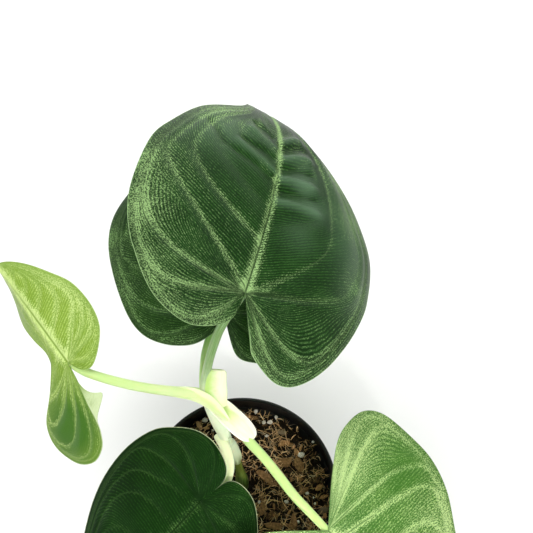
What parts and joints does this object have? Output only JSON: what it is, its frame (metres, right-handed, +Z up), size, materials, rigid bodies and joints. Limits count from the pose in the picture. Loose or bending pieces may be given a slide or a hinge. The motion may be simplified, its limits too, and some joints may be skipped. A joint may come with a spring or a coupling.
{
  "type": "potted ice frost syngonium",
  "caption": "Young climbing house plant with broad heart-shaped leaves frosted pale green along the veins, a short leaning stem and a rolled new leaf, in a tapered round black nursery pot of bark mix",
  "frame": {"origin": "centre of the pot's flat underside, where it rests", "axes": "+Z up along the pot's own axis; the side that the picture is taken from faces -Y, and +X is to its right"},
  "size_m": [0.2371, 0.2792, 0.2308],
  "materials": {
    "pot": "satin black, slightly rough",
    "soil": "rough bark, coir and white mineral grains",
    "stem": "smooth living stem, olive green",
    "leaf_front": "satin leaf, dark green with pale frosted veins",
    "leaf_back": "satin leaf, dark green with pale frosted veins",
    "leaf_young": "satin leaf, yellow green with paler veins",
    "leaf_dark": "satin leaf, very dark green with thin pale veins and edge",
    "leaf_pale": "satin leaf, light green, heavily frosted",
    "sheath": "smooth, cream white and slightly translucent"
  },
  "bodies": {
    "root": {"pot": "pot", "soil": "soil", "stem": "stem", "leaf_front": "leaf_front", "leaf_back": "leaf_back", "leaf_young": "leaf_young", "leaf_dark": "leaf_dark", "leaf_pale": "leaf_pale", "new_spear": "sheath", "old_sheath": "sheath"}
  },
  "joints": []
}
